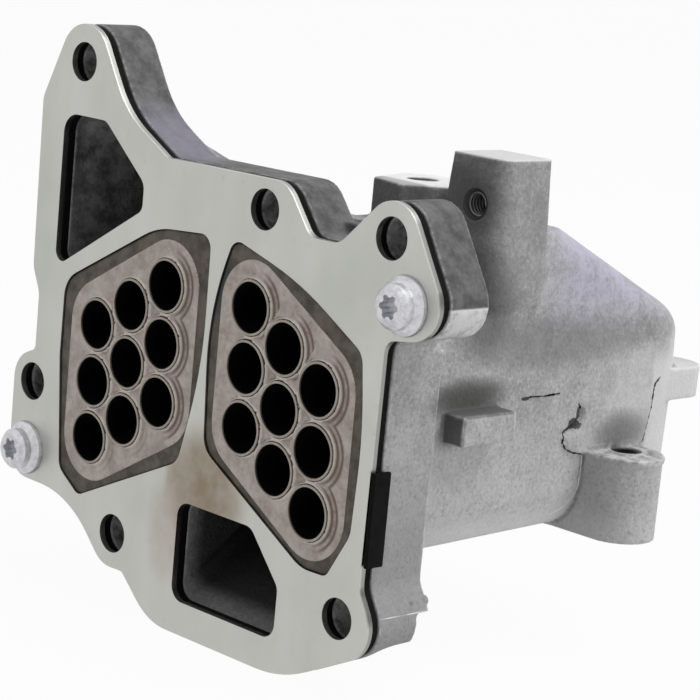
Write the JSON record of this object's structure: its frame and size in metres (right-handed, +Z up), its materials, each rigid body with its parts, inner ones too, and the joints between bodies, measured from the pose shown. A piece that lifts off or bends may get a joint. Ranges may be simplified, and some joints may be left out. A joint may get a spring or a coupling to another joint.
{
  "type": "egr cooler",
  "caption": "Exhaust gas recirculation cooler: cast housing with a bolted flange plate, gasket, two headers and bundles of round gas tubes.",
  "frame": {"origin": "front face of the flange plate, on the web between the two header cut-outs, level with the upper inner tubes", "axes": "+X to the right seen from the front, +Y into the housing, +Z up"},
  "size_m": [0.1335, 0.1167, 0.1295],
  "materials": {
    "cast_alloy": "rough cast",
    "plate_steel": "satin",
    "gasket_rubber": "matt",
    "header_steel": "heat stained",
    "tube_steel": "heat stained",
    "screw_steel": "bright zinc",
    "core_steel": "satin"
  },
  "bodies": {
    "root": {"housing": "cast_alloy", "flange_plate": "plate_steel", "gasket": "gasket_rubber", "left_header": "header_steel", "right_header": "header_steel", "flange_screws": "screw_steel", "rear_header": "core_steel", "return_cap": "core_steel", "tube_left_1": "tube_steel", "tube_left_2": "tube_steel", "tube_left_3": "tube_steel", "tube_left_4": "tube_steel", "tube_left_5": "tube_steel", "tube_left_6": "tube_steel", "tube_left_7": "tube_steel", "tube_left_8": "tube_steel", "tube_left_9": "tube_steel", "tube_right_1": "tube_steel", "tube_right_2": "tube_steel", "tube_right_3": "tube_steel", "tube_right_4": "tube_steel", "tube_right_5": "tube_steel", "tube_right_6": "tube_steel", "tube_right_7": "tube_steel", "tube_right_8": "tube_steel", "tube_right_9": "tube_steel"}
  },
  "joints": []
}
